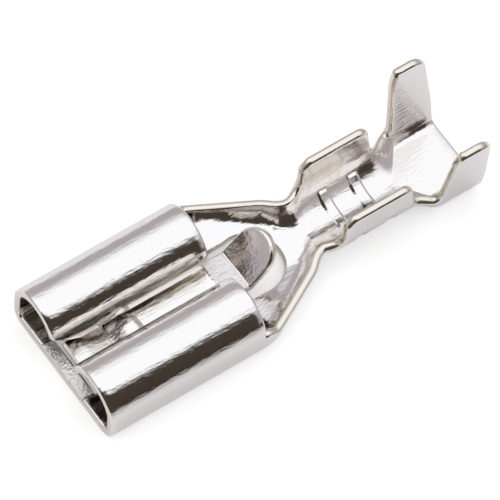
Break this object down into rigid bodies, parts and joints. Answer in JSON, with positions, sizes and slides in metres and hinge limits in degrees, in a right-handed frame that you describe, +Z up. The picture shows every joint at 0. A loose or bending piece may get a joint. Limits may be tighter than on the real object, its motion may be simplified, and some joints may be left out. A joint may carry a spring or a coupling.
{
  "type": "female spade terminal",
  "caption": "Open-barrel crimp receptacle for a 6.3 mm spade tab, folded from one sheet, with a locking tongue, a conductor barrel and an insulation barrel.",
  "frame": {"origin": "middle of the terminal's length and width, on the level of its flat underside", "axes": "+X runs from the mouth for the tab to the wire end, +Z up out of the open barrels"},
  "size_m": [0.0206, 0.0074, 0.0049],
  "materials": {
    "plated_brass": "bright tin or nickel plated brass sheet, with bare cut edges"
  },
  "bodies": {
    "root": {"terminal": "plated_brass"}
  },
  "joints": []
}
